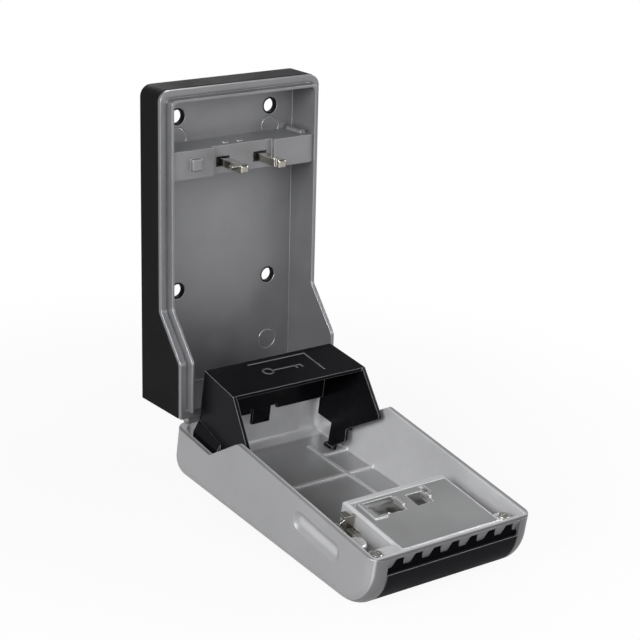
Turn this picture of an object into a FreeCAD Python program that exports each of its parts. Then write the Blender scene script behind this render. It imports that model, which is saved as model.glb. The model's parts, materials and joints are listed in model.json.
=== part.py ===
import FreeCAD, Part
import math
import os

# Wall key safe, shown open: a wall unit with a rubber jacket, and a door that
# hangs from its lower edge and carries the key tray, the lock and the shutter.
# All sizes are in millimetres. X runs to the right, Y into the wall, Z up.
# Pieces are drawn with the unit's bottom at height 0 and the door shut, and
# placed at the end: the door is swung open and the origin goes to the centre
# of the four wall holes, on the wall's surface.

# Wall unit
UNIT_W = 83.0
UNIT_TOP = 144.2
UNIT_BASE = 0.3
RIM_HIGH = 16.5
RIM_LOW = 33.0
BEND_LOW = 26.0
BEND_HIGH = 46.0
BEND_R = 3.0
CORNER_R = 5.0
JACKET_PROUD = 0.2
JACKET_WALL = 2.0
JACKET_BACK = 1.0
CASING_BACK = 1.6
CASING_FLOOR = 3.7
CASING_INNER_Y = -(JACKET_BACK + CASING_BACK)
FLANGE_T = 2.0
RIM_SIDE = 4.55
RIM_END = 4.8
LIP_HALF_W = UNIT_W / 2 - RIM_SIDE
LIP_TOP = UNIT_TOP - RIM_END
LIP_T = 1.15
LIP_H = 3.9
LIP_START = 4.0
RIM_GROOVE_W = 0.8
RIM_GROOVE_H = 0.8
SHELL_GAP = 0.15

# Wall holes, in a rectangle
HOLE_R = 3.1
HOLE_DX = 49.0
HOLE_DZ = 80.0
HOLE_DROP = 55.2
HOLE_MID_Z = UNIT_TOP - HOLE_DROP
LINER_WALL = 0.6
MARK_R = 4.8
MARK_W = 0.4
MARK_H = 0.2
MARK_DROP_UPPER = 9.5
MARK_DROP_LOWER = 31.5

# Door shell
DOOR_INSET = 0.3
DOOR_W = UNIT_W - 2 * DOOR_INSET
DOOR_TOP = UNIT_TOP - 0.2
DOOR_BOTTOM = -2.7
DOOR_GAP = 0.3
DOOR_DEPTH = 29.5
END_R = 21.0
FACE_Y = -(RIM_HIGH + DOOR_DEPTH)
FACE_Z = DOOR_TOP - END_R
FACE_TILT = 4.9
TOE_R = 9.0
SIDE_R = 6.0
SIDE_IN_R = 1.6
PLAN_IN_R = 7.0
DOOR_SIDE = 2.4
DOOR_FACE = 2.6
DOOR_END = 3.1
DOOR_TOE = 2.0
HINGE_BLOCK = 3.0
GRIP_DEPTH = 1.7
GRIP_HALF_W = 4.6
GRIP_Y = -(RIM_HIGH + 10.4)
GRIP_Z = (DOOR_TOP - 53.8, DOOR_TOP - 21.6)
RIB_H = 0.9
RIB_W = 1.8
RIB_X = 24.6
RIB_Z = (12.0, 66.0)
CROSS_RIB_Z = 42.6
SHORT_RIB_Z = 22.6

# Dials, their cams and shaft
LOCK_HIGH = DOOR_TOP - DOOR_END - 3.5
LOCK_WALL = 2.2
SHUTTER_T = 2.0
DIAL_R = 7.5
DIAL_Z = LOCK_HIGH - LOCK_WALL - DIAL_R - 1.2
DIAL_Y = FACE_Y + SHUTTER_T + 0.9 + DIAL_R
DIAL_T = 6.0
DIAL_PITCH = 9.6
DIAL_COUNT = 4
DIAL_FACES = 10
DIAL_GROOVE = 0.5
DIAL_GAP = 0.3
CAM_R = 4.2
CAM_BOSS_R = 3.2
CAM_T = 1.4
CAM_NOTCH = 1.6
SHAFT_R = 2.0
SHAFT_GAP = 0.05
SHAFT_LEFT = -24.7
SHAFT_TIP = 1.2
SHAFT_SHIFT = 1.5
SHAFT_RIGHT = 33.0
CLIP_R = 3.0
CLIP_T = 0.6
CLIP_GAP = 0.2
DETENT_T = 0.4
DETENT_GAP = 0.3
DETENT_ROOT = DIAL_Z + 5.1
DETENT_FINGER_W = 4.0

# Strike bar and its two hooks
HOOK_IN = 7.9
HOOK_OUT = 11.7
HOOK_TIP = 16.0
HOOK_BOTTOM = DIAL_Z - DIAL_R - 10.4
HOOK_T = 3.5
HOOK_REACH = 15.3
HOOK_ROOT_Y = 8.0
NOSE_R = 0.9
NOSE_NOTCH = 1.0
BAR_BOTTOM = HOOK_BOTTOM - 3.7
BAR_TOP = BAR_BOTTOM + 12.7
BAR_FRONT = RIM_HIGH + 2.8
BAR_STEP = 2.3
BAR_STEP_HALF_W = 16.0
BAR_RIB_R = 1.6
BOSS_X = -25.6
BOSS_W = 5.0
BOSS_H = 5.4
BOSS_PROUD = 2.0
BUMP_X = (-6.0, 1.5)
BUMP_R = 1.8
BUMP_H = 0.4
POCKET_SIDE = 1.7
POCKET_END = 0.5
POCKET_DEPTH = 3.5
HOOK_END_Y = BAR_FRONT + HOOK_REACH
BARB_FRONT_Y = HOOK_END_Y - 1.2
BARB_BACK_Y = HOOK_END_Y - 3.6
BARB_T = 1.9
BARB_RAMP = 1.4
BAR_SCREW_X = 28.0
BAR_SCREW_HEAD_R = 2.6

# Hinge between wall unit and door
HINGE_Y = -(RIM_LOW - 3.5)
HINGE_Z = -0.6
BARREL_R = 2.7
PIN_R = 1.5
PIN_GAP = 0.05
KNUCKLE_GAP = 0.4
KNUCKLE_ENDS = (UNIT_W / 2 - 4.5, 27.2, 9.2)
OPEN_ANGLE = 99.5

# Lock housing and cover plate
LOCK_LEFT = -22.0
LOCK_RIGHT = 30.5
LOCK_LOW = HOOK_BOTTOM - 11.6
LOCK_TOP_Y = -(BAR_FRONT + 0.9)
LOCK_BORDER = 1.2
LOCK_CHAMFER = 1.0
LOCK_FLOOR_GAP = 0.3
LOCK_UNDERCUT_Y = LOCK_TOP_Y - 3.8
PEEP_SLOT = ((-3.8, 6.7), (LOCK_LOW + 0.7, LOCK_LOW + 1.6))
PEEP_DEPTH = 1.5
COVER_LOW = HOOK_BOTTOM - 8.0
COVER_T = 1.2
COVER_SINK = 0.2
COVER_GAP = 0.1
COVER_CORNER = 3.0
HOLE_LOW = HOOK_BOTTOM - 6.2
HOLE_HIGH = HOOK_BOTTOM + HOOK_T + 1.1
LEFT_HOLE_X = (-(HOOK_TIP + 0.6), -1.0)
RIGHT_HOLE_X = (HOOK_IN - 2.9, HOOK_OUT + 1.5)
RIGHT_HOLE_LOW = HOOK_BOTTOM - 4.0
COVER_LIP_W = 1.5
COVER_LIP_H = 0.8
COVER_LIP_L = 6.2
COLLAR_T = 1.2
COLLAR_DEPTH = 2.0
COLLAR_Z = (HOOK_BOTTOM - 4.1, HOOK_BOTTOM + 1.8)
STUD_Z = (HOOK_BOTTOM - 1.4, HOOK_BOTTOM + 1.6)
CORNER_CUT_X = (14.2, 17.0)
CORNER_CUT_L = 5.6
FUNNEL_END_X = -6.8
FUNNEL_DROP = 5.0
FUNNEL_T = 0.6
FUNNEL_GAP = 1.6
BULKHEAD_X = 19.8
BULKHEAD_T = 1.6
LUG_T = 2.2
LUG_HALF_W = 3.4
LUG_X = DOOR_W / 2 - 8.2
LUG_Z = LOCK_HIGH - 2.5
SCREW_HEAD_R = 2.4
SCREW_HEAD_H = 1.0
SCREW_R = 1.2
SCREW_L = 7.0
POST_R = 2.4

# Latch plate, thumb slider and their springs
LATCH_Y = (-(BARB_BACK_Y - 0.3), -(BARB_BACK_Y - 2.3))
LATCH_HALF_W = 19.5
LATCH_Z = (HOOK_BOTTOM - 8.6, HOOK_BOTTOM + HOOK_T + 1.5)
LATCH_TRAVEL = 4.0
WINDOW_GAP = 0.4
GUIDE_W = 1.1
GUIDE_T = 0.9
GUIDE_GAP = 0.15
PAD_HALF_W = 9.0
PAD_Z = (LATCH_Z[0] - 1.4, LATCH_Z[0] + 6.6)
PAD_T = 1.1
PAD_GAP = 0.3
PAD_RIBS = 3
POST_HALF = 2.4
SLOT_GAP = 0.3
LATCH_SCREW_R = 1.1
LATCH_SCREW_HEAD_R = 2.2
LATCH_SCREW_HEAD_H = 1.2
SPRING_X = 3.6
SPRING_R = 1.5
SPRING_WIRE = 0.4
SPRING_TURNS = 6
SPRING_BOTTOM = HOOK_BOTTOM + 1.4
STOP_Y = (LATCH_Y[0] - 0.2, LATCH_Y[1] + 1.4)
STOP_T = 1.0
STOP_REACH = math.sqrt((DIAL_R + DIAL_GAP) ** 2 - (STOP_Y[0] - DIAL_Y) ** 2) + 0.1
STOP_Z = (DIAL_Z - STOP_REACH - STOP_T, DIAL_Z - STOP_REACH)

# Shutter, its seat in the door's face and the seal at its upper edge
SHUTTER_HALF_W = DOOR_W / 2 - 7.45
SHUTTER_GAP = 0.3
SHUTTER_TOP_Y = -(RIM_HIGH + 8.0)
SEAT_DEPTH = 4.4
SEAT_T = 1.8
SEAT_WALL = 2.4
SEAT_TOP_Y = -(RIM_HIGH + 5.7)
SEAT_ROOF_T = 1.2
PIVOT_Z = LOCK_LOW - 10.5
PIVOT_DEPTH = 2.1
PIVOT_KNUCKLE_R = 1.9
PIVOT_PIN_R = 0.8
PIVOT_PIN_L = 2.0
TOOTH_COUNT = 7
TOOTH_PITCH = 9.4
TOOTH_BASE = 6.0
TOOTH_TIP = 3.8
TOOTH_TOP_Y = -(RIM_HIGH + 1.3)
TOOTH_IN = 2.3
TOOTH_OUT = 1.1
SCOOP_DEPTH = 1.4

# Reset lever
LEVER_X = (LOCK_LEFT - 5.7, LOCK_LEFT - 0.3)
LEVER_T = 1.0
LEVER_Z = LOCK_LOW + 8.6
LEVER_TOP_Y = LOCK_TOP_Y - 1.2
LEVER_BOTTOM_Y = DIAL_Y - 1.4
LEVER_FLANGE = 3.2
LEVER_FLANGE_W = 3.6
LEVER_EAR = 2.5
LEVER_STEM_W = 3.2
LEVER_TAIL_Y = (-31.0, -28.0)
LEVER_TRAVEL = 5.0
LEVER_GAP = 0.1
ARM_X = -25.8
ARM_T = 1.0
ARM_Y = (DIAL_Y - 1.2, DIAL_Y + 1.2)
ARM_END = DIAL_Z + 0.1
CHANNEL_BOSS_R = 4.2
CHANNEL_BOSS_X = ARM_X - CHANNEL_BOSS_R - 0.6
CHANNEL_BOSS_Z = DIAL_Z - 6.9
CHANNEL_BOSS_Y = LOCK_TOP_Y - 3.8
CHANNEL_BOSS_ROUND = 1.6

# Key tray
TRAY_HALF_W = LIP_HALF_W - 2.95
TRAY_WALL = 1.6
TRAY_SPLAY = 3.0
TRAY_BACK_Y = CASING_INNER_Y - 0.4
TRAY_LOW_Z = 6.1
TRAY_HIGH_Z = 31.3
TRAY_NOSE = (-20.2, 46.6)
TRAY_SHELF_Y = -(RIM_LOW - 3.0)
TRAY_TAB_Y = -(RIM_LOW + 3.0)
TRAY_TAB_X = (-6.2, 3.4)
TRAY_NOTCH_X = (-10.8, 6.9)
TRAY_NOTCH_Y = TRAY_SHELF_Y + 2.0
LEG_TOP_Y = -37.4
LEG_TOP_Z = (16.2, 26.5)
LEG_KNEE = (-43.6, 27.0)
LEG_ANKLE_Y = -49.4
LEG_ANKLE_Z = (15.6, 20.4)
LEG_END_Z = (13.4, 19.4)
LEG_GAP = 0.1
FOOT_OUT = 1.4
FOOT_T = 1.6
PEG_R = 1.1
PEG_L = 1.7
FLANGE_OUT = LIP_HALF_W - 0.35
FLANGE_WIDE = DOOR_W / 2 - DOOR_SIDE - 0.6
FLANGE_WIDE_Y = -(RIM_LOW + LIP_H + 0.7)
FLANGE_BEND_Y = FLANGE_WIDE_Y + 4.6
FLANGE_TOP_Y = FLANGE_BEND_Y + 5.5
FLANGE_LOW_Y = FLANGE_WIDE_Y - 1.8
FLANGE_Z = (6.1, 25.6)
EMBOSS_H = 0.2
EMBOSS_W = 0.6

NODES = {}


def vec(x, y, z):
    return FreeCAD.Vector(x, y, z)


def box(x, y, z):
    """A box from three (low, high) pairs."""
    size = (x[1] - x[0], y[1] - y[0], z[1] - z[0])
    return Part.makeBox(size[0], size[1], size[2], vec(x[0], y[0], z[0]))


def rod_x(radius, x, y, z):
    return Part.makeCylinder(radius, x[1] - x[0], vec(x[0], y, z), vec(1, 0, 0))


def rod_y(radius, x, y, z):
    return Part.makeCylinder(radius, y[1] - y[0], vec(x, y[0], z), vec(0, 1, 0))


def outline(points, radii):
    """A closed wire through the points, each corner rounded to its radius."""
    edges = []
    starts = []
    count = len(points)
    for i in range(count):
        here = points[i]
        before = (points[i - 1] - here).normalize()
        after = (points[(i + 1) % count] - here).normalize()
        if radii[i] <= 0:
            starts.append((here, here, None))
            continue
        half = before.getAngle(after) / 2
        reach = radii[i] / math.tan(half)
        middle = (before + after).normalize()
        centre = here + middle * (radii[i] / math.sin(half))
        starts.append((here + before * reach, here + after * reach, centre - middle * radii[i]))
    for i in range(count):
        first, last, through = starts[i]
        if through is not None:
            edges.append(Part.Arc(first, through, last).toShape())
        following = starts[(i + 1) % count][0]
        if (following - last).Length > 1e-6:
            edges.append(Part.LineSegment(last, following).toShape())
    return Part.Wire(edges)


def prism_x(points, x, radii=None):
    """The outline of (y, z) points, swept along X."""
    corners = [vec(x[0], y, z) for y, z in points]
    wire = outline(corners, radii or [0] * len(corners))
    return Part.Face(wire).extrude(vec(x[1] - x[0], 0, 0))


def prism_y(points, y, radii=None):
    """The outline of (x, z) points, swept along Y."""
    corners = [vec(x, y[0], z) for x, z in points]
    wire = outline(corners, radii or [0] * len(corners))
    return Part.Face(wire).extrude(vec(0, y[1] - y[0], 0))


def fuse(first, *others):
    return first.fuse(list(others)).removeSplitter()


def both_sides(shape):
    """The shape and its mirror image across the middle plane."""
    return [shape, shape.mirror(vec(0, 0, 0), vec(1, 0, 0))]


# Wall unit

BEND_SHIFT = math.tan(math.atan2(RIM_LOW - RIM_HIGH, BEND_HIGH - BEND_LOW) / 2)
JACKET_HALF_W = UNIT_W / 2 + JACKET_PROUD
JACKET_TOP = UNIT_TOP + JACKET_PROUD
CASING_HALF_W = JACKET_HALF_W - JACKET_WALL - SHELL_GAP
CASING_TOP = JACKET_TOP - JACKET_WALL - SHELL_GAP
CASING_FLOOR_Z = UNIT_BASE + CASING_FLOOR
FAR = 60.0


def unit_block(half_w, low, high, corner, back_y, proud):
    """A block with the wall unit's stepped front, moved out by proud."""
    front = [(back_y, low), (back_y, high), (-(RIM_HIGH + proud), high),
             (-(RIM_HIGH + proud), BEND_HIGH + BEND_SHIFT * proud),
             (-(RIM_LOW + proud), BEND_LOW + BEND_SHIFT * proud),
             (-(RIM_LOW + proud), low)]
    side = prism_x(front, (-half_w, half_w), [0, 0, 0, BEND_R, BEND_R, 0])
    face = [(-half_w, low), (half_w, low), (half_w, high), (-half_w, high)]
    plan = prism_y(face, (-FAR, FAR), [0, 0, corner, corner])
    return side.common(plan)


def hole_places():
    for side in (-1, 1):
        for level in (-1, 1):
            yield side * HOLE_DX / 2, HOLE_MID_Z + level * HOLE_DZ / 2, level


def make_jacket():
    corner = CORNER_R + JACKET_PROUD
    outer = unit_block(JACKET_HALF_W, UNIT_BASE, JACKET_TOP, corner, 0, -(FLANGE_T + SHELL_GAP))
    hollow = unit_block(JACKET_HALF_W - JACKET_WALL, UNIT_BASE - 1, JACKET_TOP - JACKET_WALL,
                        corner - JACKET_WALL, -JACKET_BACK, 5)
    jacket = outer.cut(hollow)
    for x, z, level in hole_places():
        liner = rod_y(HOLE_R + LINER_WALL, x, (CASING_INNER_Y + SHELL_GAP, -JACKET_BACK / 2), z)
        jacket = fuse(jacket, liner)
        jacket = jacket.cut(rod_y(HOLE_R, x, (-FAR, FAR), z))
    return jacket


def make_casing():
    lip_out = LIP_HALF_W + LIP_T
    lip_high = LIP_TOP + LIP_T
    walls = unit_block(CASING_HALF_W, UNIT_BASE, CASING_TOP, CORNER_R - JACKET_WALL, -JACKET_BACK, 0)
    flange = unit_block(UNIT_W / 2, UNIT_BASE, UNIT_TOP, CORNER_R, -JACKET_BACK, 0)
    flange = flange.cut(unit_block(FAR, -1, 2 * UNIT_TOP, 0, FAR, -FLANGE_T))
    groove = unit_block(lip_out + RIM_GROOVE_W, LIP_START, lip_high + RIM_GROOVE_W,
                        CORNER_R / 2, -1, FAR)
    groove = groove.cut(unit_block(FAR, -1, 2 * UNIT_TOP, 0, FAR, -RIM_GROOVE_H))
    lip = unit_block(lip_out, LIP_START, lip_high, CORNER_R / 2, -JACKET_BACK, LIP_H)
    casing = fuse(walls, flange).cut(groove)
    casing = fuse(casing, lip)
    hollow = unit_block(LIP_HALF_W, CASING_FLOOR_Z, LIP_TOP, CORNER_R / 2, CASING_INNER_Y, 2 * LIP_H)
    casing = casing.cut(hollow)
    for x, z, level in hole_places():
        casing = casing.cut(rod_y(HOLE_R + LINER_WALL + SHELL_GAP, x, (-FAR / 2, 1), z))
        drop = MARK_DROP_UPPER if level > 0 else MARK_DROP_LOWER
        bed = (CASING_INNER_Y - 1, CASING_INNER_Y + MARK_H)
        ring = rod_y(MARK_R, x, bed, z - drop).cut(rod_y(MARK_R - MARK_W, x, bed, z - drop))
        casing = casing.cut(ring)
    for low, high in body_knuckles():
        arm = box((low, high), (HINGE_Y - BARREL_R, HINGE_Y + BARREL_R), (HINGE_Z, UNIT_BASE + 1))
        casing = fuse(casing, rod_x(BARREL_R, (low, high), HINGE_Y, HINGE_Z), arm)
    for low, high in door_knuckles():
        room = (low - KNUCKLE_GAP, high + KNUCKLE_GAP)
        casing = casing.cut(rod_x(BARREL_R + KNUCKLE_GAP, room, HINGE_Y, HINGE_Z))
        front = (HINGE_Y - FAR, HINGE_Y)
        casing = casing.cut(box(room, front, (HINGE_Z - BARREL_R, UNIT_BASE + KNUCKLE_GAP)))
    casing = casing.cut(rod_x(PIN_R, (-FAR, FAR), HINGE_Y, HINGE_Z))
    for x in (-BAR_SCREW_X, BAR_SCREW_X):
        casing = casing.cut(countersunk(x, 0))
    return casing


def countersunk(x, slack):
    """A countersunk screw that enters the strike bar from behind, thinner by slack."""
    z = (BAR_BOTTOM + BAR_TOP) / 2
    shank_r = SCREW_R - slack
    head = Part.makeCone(BAR_SCREW_HEAD_R, shank_r, CASING_BACK, vec(x, -JACKET_BACK, z), vec(0, -1, 0))
    return fuse(head, rod_y(shank_r, x, (CASING_INNER_Y - SCREW_L + 0.5, CASING_INNER_Y), z))


def body_knuckles():
    end, outer, inner = KNUCKLE_ENDS
    half = KNUCKLE_GAP / 2
    return [(-end, -outer - half), (-inner + half, inner - half), (outer + half, end)]


def door_knuckles():
    end, outer, inner = KNUCKLE_ENDS
    half = KNUCKLE_GAP / 2
    return [(-outer + half, -inner - half), (inner + half, outer - half)]


def make_bar():
    ends = LIP_HALF_W - SHELL_GAP
    levels = (BAR_BOTTOM, BAR_TOP)
    bar = box((-ends, ends), (-BAR_FRONT, CASING_INNER_Y), levels)
    step = (-BAR_STEP_HALF_W, BAR_STEP_HALF_W)
    bar = bar.cut(box(step, (-FAR, -(BAR_FRONT - BAR_STEP)), (0, 2 * UNIT_TOP)))
    boss_z = (BAR_BOTTOM + BAR_TOP - BOSS_H) / 2
    boss = box((BOSS_X - BOSS_W / 2, BOSS_X + BOSS_W / 2), (-BAR_FRONT - BOSS_PROUD, -BAR_FRONT),
               (boss_z, boss_z + BOSS_H))
    boss = boss.makeFillet(0.6, [e for e in boss.Edges if abs(e.CenterOfMass.y + BAR_FRONT) > 0.1])
    bar = fuse(bar, boss)
    rib_y = (-BAR_FRONT + 4, CASING_INNER_Y - 1)
    bar = fuse(bar, rod_y(BAR_RIB_R, ends - 1 - BAR_RIB_R, rib_y, BAR_TOP))
    for x in BUMP_X:
        bump = Part.makeCylinder(BUMP_R, 2 * BUMP_H, vec(x, -BAR_FRONT + 7, BAR_TOP - BUMP_H))
        bar = fuse(bar, bump)
    for shape in both_sides(hook_slot()):
        bar = bar.cut(shape)
    for x in (-BAR_SCREW_X, BAR_SCREW_X):
        bar = bar.cut(rod_y(SCREW_R, x, (CASING_INNER_Y - SCREW_L, 1), (BAR_BOTTOM + BAR_TOP) / 2))
    return bar


def hook_slot():
    """The tight slot for the right hook's root, and the wider pocket around it."""
    gap = PIN_GAP
    top = HOOK_BOTTOM + HOOK_T
    slot = box((HOOK_IN - gap, HOOK_OUT + gap), (-FAR, -HOOK_ROOT_Y), (HOOK_BOTTOM - gap, top + gap))
    pocket_y = -(BAR_FRONT - BAR_STEP - POCKET_DEPTH)
    pocket = box((HOOK_IN - POCKET_SIDE, HOOK_OUT + POCKET_SIDE), (-FAR, pocket_y),
                 (HOOK_BOTTOM - POCKET_END, top + POCKET_END))
    return fuse(slot, pocket)


def make_hook(barbed):
    """The right hook, a bar with a rounded nose: with a barb that points outwards, or a notch."""
    top = HOOK_BOTTOM + HOOK_T
    hook = box((HOOK_IN, HOOK_OUT), (-HOOK_END_Y, -HOOK_ROOT_Y), (HOOK_BOTTOM, top))
    nose = [e for e in hook.Edges if abs(e.CenterOfMass.y + HOOK_END_Y) < 0.01]
    hook = hook.makeFillet(NOSE_R, nose)
    if not barbed:
        notch = box((HOOK_IN - 1, HOOK_IN + NOSE_NOTCH), (-BARB_FRONT_Y, -BARB_BACK_Y), (0, 2 * UNIT_TOP))
        return hook.cut(notch)
    ramp = [(-BARB_FRONT_Y, top - BARB_T + BARB_RAMP), (-BARB_FRONT_Y, top), (-BARB_BACK_Y, top),
            (-BARB_BACK_Y, top - BARB_T), (-BARB_FRONT_Y + BARB_RAMP, top - BARB_T)]
    return fuse(hook, prism_x(ramp, (HOOK_OUT - 1, HOOK_TIP)))


def make_bar_screws():
    return Part.makeCompound([countersunk(x, PIN_GAP) for x in (-BAR_SCREW_X, BAR_SCREW_X)])


def make_hinge_pin():
    end = KNUCKLE_ENDS[0]
    return rod_x(PIN_R, (-end, end), HINGE_Y, HINGE_Z)


# Door, drawn shut

DOOR_HALF_W = DOOR_W / 2
TILT = math.tan(math.radians(FACE_TILT))


def face_y(z):
    """The outer face's depth at a height, where it is straight."""
    return FACE_Y - (FACE_Z - z) * TILT


def door_block(end_in, face_in, toe_in, side_in, side_r=0):
    """The door's outer form with its back left long, moved inwards by the given amounts."""
    high = DOOR_TOP - end_in
    low = DOOR_BOTTOM + toe_in
    slant = face_in / math.cos(math.radians(FACE_TILT))
    points = [(FAR, low), (FAR, high), (face_y(high) + slant, high), (face_y(low) + slant, low)]
    end_r = max(END_R - (end_in + face_in) / 2, 1.0)
    toe_r = max(TOE_R - (toe_in + face_in) / 2, 1.0)
    half = DOOR_HALF_W - side_in
    block = prism_x(points, (-half, half), [0, 0, end_r, toe_r])
    edges = []
    for edge in block.Edges:
        flat = all(abs(abs(v.X) - half) < 1e-4 for v in edge.Vertexes)
        if flat and edge.BoundBox.YMin < FAR - 1:
            edges.append(edge)
    return block.makeFillet(side_r or max(SIDE_R - side_in, 1.0), edges)


def door_inset(depth):
    """The door's outer form moved inwards by the same depth at the end and the face."""
    return door_block(depth, depth, depth, 0)


def door_room(floor_in):
    """The room inside the door, with its floor raised by the given amount."""
    half = DOOR_HALF_W - DOOR_SIDE
    low = DOOR_BOTTOM + DOOR_TOE
    room = door_block(DOOR_END, DOOR_FACE + floor_in, DOOR_TOE, DOOR_SIDE, SIDE_IN_R)
    plan = [(-half, low), (half, low), (half, 2 * UNIT_TOP), (-half, 2 * UNIT_TOP)]
    return room.common(prism_y(plan, (-2 * FAR, 2 * FAR), [PLAN_IN_R, PLAN_IN_R, 0, 0]))


def behind_rim():
    """All that lies behind the door's rim plane."""
    gap = DOOR_GAP
    points = [(2 * FAR, -FAR), (2 * FAR, 2 * UNIT_TOP), (-(RIM_HIGH + gap), 2 * UNIT_TOP),
              (-(RIM_HIGH + gap), BEND_HIGH + BEND_SHIFT * gap),
              (-(RIM_LOW + gap), BEND_LOW + BEND_SHIFT * gap), (-(RIM_LOW + gap), -FAR)]
    return prism_x(points, (-FAR, FAR), [0, 0, 0, BEND_R, BEND_R, 0])


def seat_region(half_w, low, top_y):
    return box((-half_w, half_w), (-2 * FAR, top_y), (low, 2 * UNIT_TOP))


def tooth_places():
    middle = (TOOTH_COUNT - 1) / 2
    return [(i - middle) * TOOTH_PITCH for i in range(TOOTH_COUNT)]


def tooth(x, gap, out):
    """One wedge-shaped tooth of the seal, grown by gap, up to a depth below the door's end."""
    base = TOOTH_BASE / 2 + gap
    tip = TOOTH_TIP / 2 + gap
    low = SEAT_TOP_Y - 0.5
    z = (DOOR_TOP - TOOTH_IN, DOOR_TOP - out)
    points = [vec(x - base, low, z[0]), vec(x + base, low, z[0]),
              vec(x + tip, TOOTH_TOP_Y + gap, z[0]), vec(x - tip, TOOTH_TOP_Y + gap, z[0])]
    wire = outline(points, [0, 0, 0.6, 0.6])
    return Part.Face(wire).extrude(vec(0, 0, z[1] - z[0]))


def make_shell():
    outer = door_block(0, 0, 0, 0)
    block_half = KNUCKLE_ENDS[1] - KNUCKLE_GAP
    block = box((-block_half, block_half), (-2 * FAR, 0), (-FAR, DOOR_BOTTOM + HINGE_BLOCK))
    shell = fuse(outer.cut(door_room(0)), outer.common(block))
    floor = outer.cut(door_block(DOOR_END, DOOR_FACE + RIB_H, DOOR_TOE, DOOR_SIDE, SIDE_IN_R))
    half = RIB_W / 2
    ribs = [box((RIB_X - half, RIB_X + half), (-FAR, -SEAT_DEPTH), RIB_Z)]
    for reach, z in (((-DOOR_HALF_W, DOOR_HALF_W), CROSS_RIB_Z), ((RIB_X, DOOR_HALF_W), SHORT_RIB_Z)):
        ribs.append(box(reach, (-FAR, -SEAT_DEPTH), (z - half, z + half)))
    for rib in ribs:
        shell = fuse(shell, floor.common(rib))
    tub = outer.cut(door_inset(SEAT_DEPTH + SEAT_T))
    low = PIVOT_Z - PIVOT_KNUCKLE_R - 2 * SHUTTER_GAP
    recess_half_w = SHUTTER_HALF_W + SHUTTER_GAP
    tub = tub.common(seat_region(recess_half_w + SEAT_WALL, low - SEAT_WALL, SEAT_TOP_Y + SEAT_ROOF_T))
    shell = fuse(shell, tub)
    recess = door_block(-1, -1, -1, -1).cut(door_inset(SEAT_DEPTH))
    shell = shell.cut(recess.common(seat_region(recess_half_w, low, SEAT_TOP_Y)))
    scoop = [(SEAT_TOP_Y, DOOR_TOP - SCOOP_DEPTH), (SEAT_TOP_Y, DOOR_TOP + 1),
             (TOOTH_TOP_Y + 0.6, DOOR_TOP + 1), (TOOTH_TOP_Y + 0.6, DOOR_TOP)]
    shell = shell.cut(prism_x(scoop, (-recess_half_w, recess_half_w)))
    for x in tooth_places():
        shell = shell.cut(tooth(x, PIN_GAP, -1))
    for side in both_sides(screw_post()):
        shell = fuse(shell, side)
    for side in both_sides(rod_y(SCREW_R, LUG_X, (LOCK_TOP_Y - LUG_T - SCREW_L, 0), LUG_Z)):
        shell = shell.cut(side)
    shell = fuse(shell, channel_boss())
    shell = shell.cut(behind_rim())
    for x in both_sides(grip_scoop()):
        shell = shell.cut(x)
    for low, high in door_knuckles():
        arm = [(HINGE_Y, HINGE_Z - BARREL_R), (-RIM_LOW - 2, HINGE_Z - BARREL_R),
               (-RIM_LOW - 2, UNIT_BASE - KNUCKLE_GAP), (HINGE_Y, UNIT_BASE - KNUCKLE_GAP)]
        shell = fuse(shell, prism_x(arm, (low, high)), rod_x(BARREL_R, (low, high), HINGE_Y, HINGE_Z))
    for low, high in body_knuckles():
        room = (low - KNUCKLE_GAP / 2, high + KNUCKLE_GAP / 2)
        shell = shell.cut(rod_x(BARREL_R + KNUCKLE_GAP, room, HINGE_Y, HINGE_Z))
    shell = shell.cut(rod_x(PIN_R + PIN_GAP, (-FAR, FAR), HINGE_Y, HINGE_Z))
    for x in dial_places():
        half = DIAL_T / 2 + DIAL_GAP
        reach = DIAL_R + DIAL_GAP
        shell = shell.cut(rod_x(reach, (x - half, x + half), DIAL_Y, DIAL_Z))
    row_end = dial_places()[-1] + DIAL_T / 2 + CAM_T + DIAL_GAP + SHAFT_SHIFT
    row = (dial_places()[0] - DIAL_T / 2, row_end)
    shell = shell.cut(rod_x(CAM_R + DIAL_GAP, row, DIAL_Y, DIAL_Z))
    slot_z = (PAD_Z[0] + PAD_Z[1]) / 2
    slot_half = POST_HALF + SLOT_GAP
    slot_run = (slot_z - slot_half, slot_z + slot_half + LATCH_TRAVEL)
    shell = shell.cut(box((-slot_half, slot_half), (-FAR, LATCH_Y[0]), slot_run))
    for side in both_sides(pivot_hole()):
        shell = shell.cut(side)
    for side in both_sides(foot_peg(PIN_GAP)):
        shell = shell.cut(side)
    return shell


def screw_post():
    post = rod_y(POST_R, LUG_X, (-FAR, LOCK_TOP_Y - LUG_T), LUG_Z)
    return post.common(inside_seat())


def channel_boss():
    """The smooth round boss beside the lock."""
    boss = rod_y(CHANNEL_BOSS_R, CHANNEL_BOSS_X, (-FAR, CHANNEL_BOSS_Y), CHANNEL_BOSS_Z)
    rim = [e for e in boss.Edges if abs(e.BoundBox.YMin - CHANNEL_BOSS_Y) < 1e-4]
    return boss.makeFillet(CHANNEL_BOSS_ROUND, rim).common(inside_seat())


def inside_seat():
    """The room behind the shutter's seat, with half the seat's thickness."""
    return door_inset(SEAT_DEPTH + SEAT_T / 2)


def grip_scoop():
    """The finger scoop in the door's right side: a long ball-ended trough."""
    radius = (GRIP_HALF_W ** 2 + GRIP_DEPTH ** 2) / (2 * GRIP_DEPTH)
    x = DOOR_HALF_W - GRIP_DEPTH + radius
    ends = [vec(x, GRIP_Y, z) for z in (GRIP_Z[0] + GRIP_HALF_W, GRIP_Z[1] - GRIP_HALF_W)]
    trough = Part.makeCylinder(radius, ends[1].z - ends[0].z, ends[0], vec(0, 0, 1))
    balls = [Part.makeSphere(radius, end) for end in ends]
    return fuse(trough, *balls)


def pivot_place():
    return face_y(PIVOT_Z) + PIVOT_DEPTH, PIVOT_Z


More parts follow.
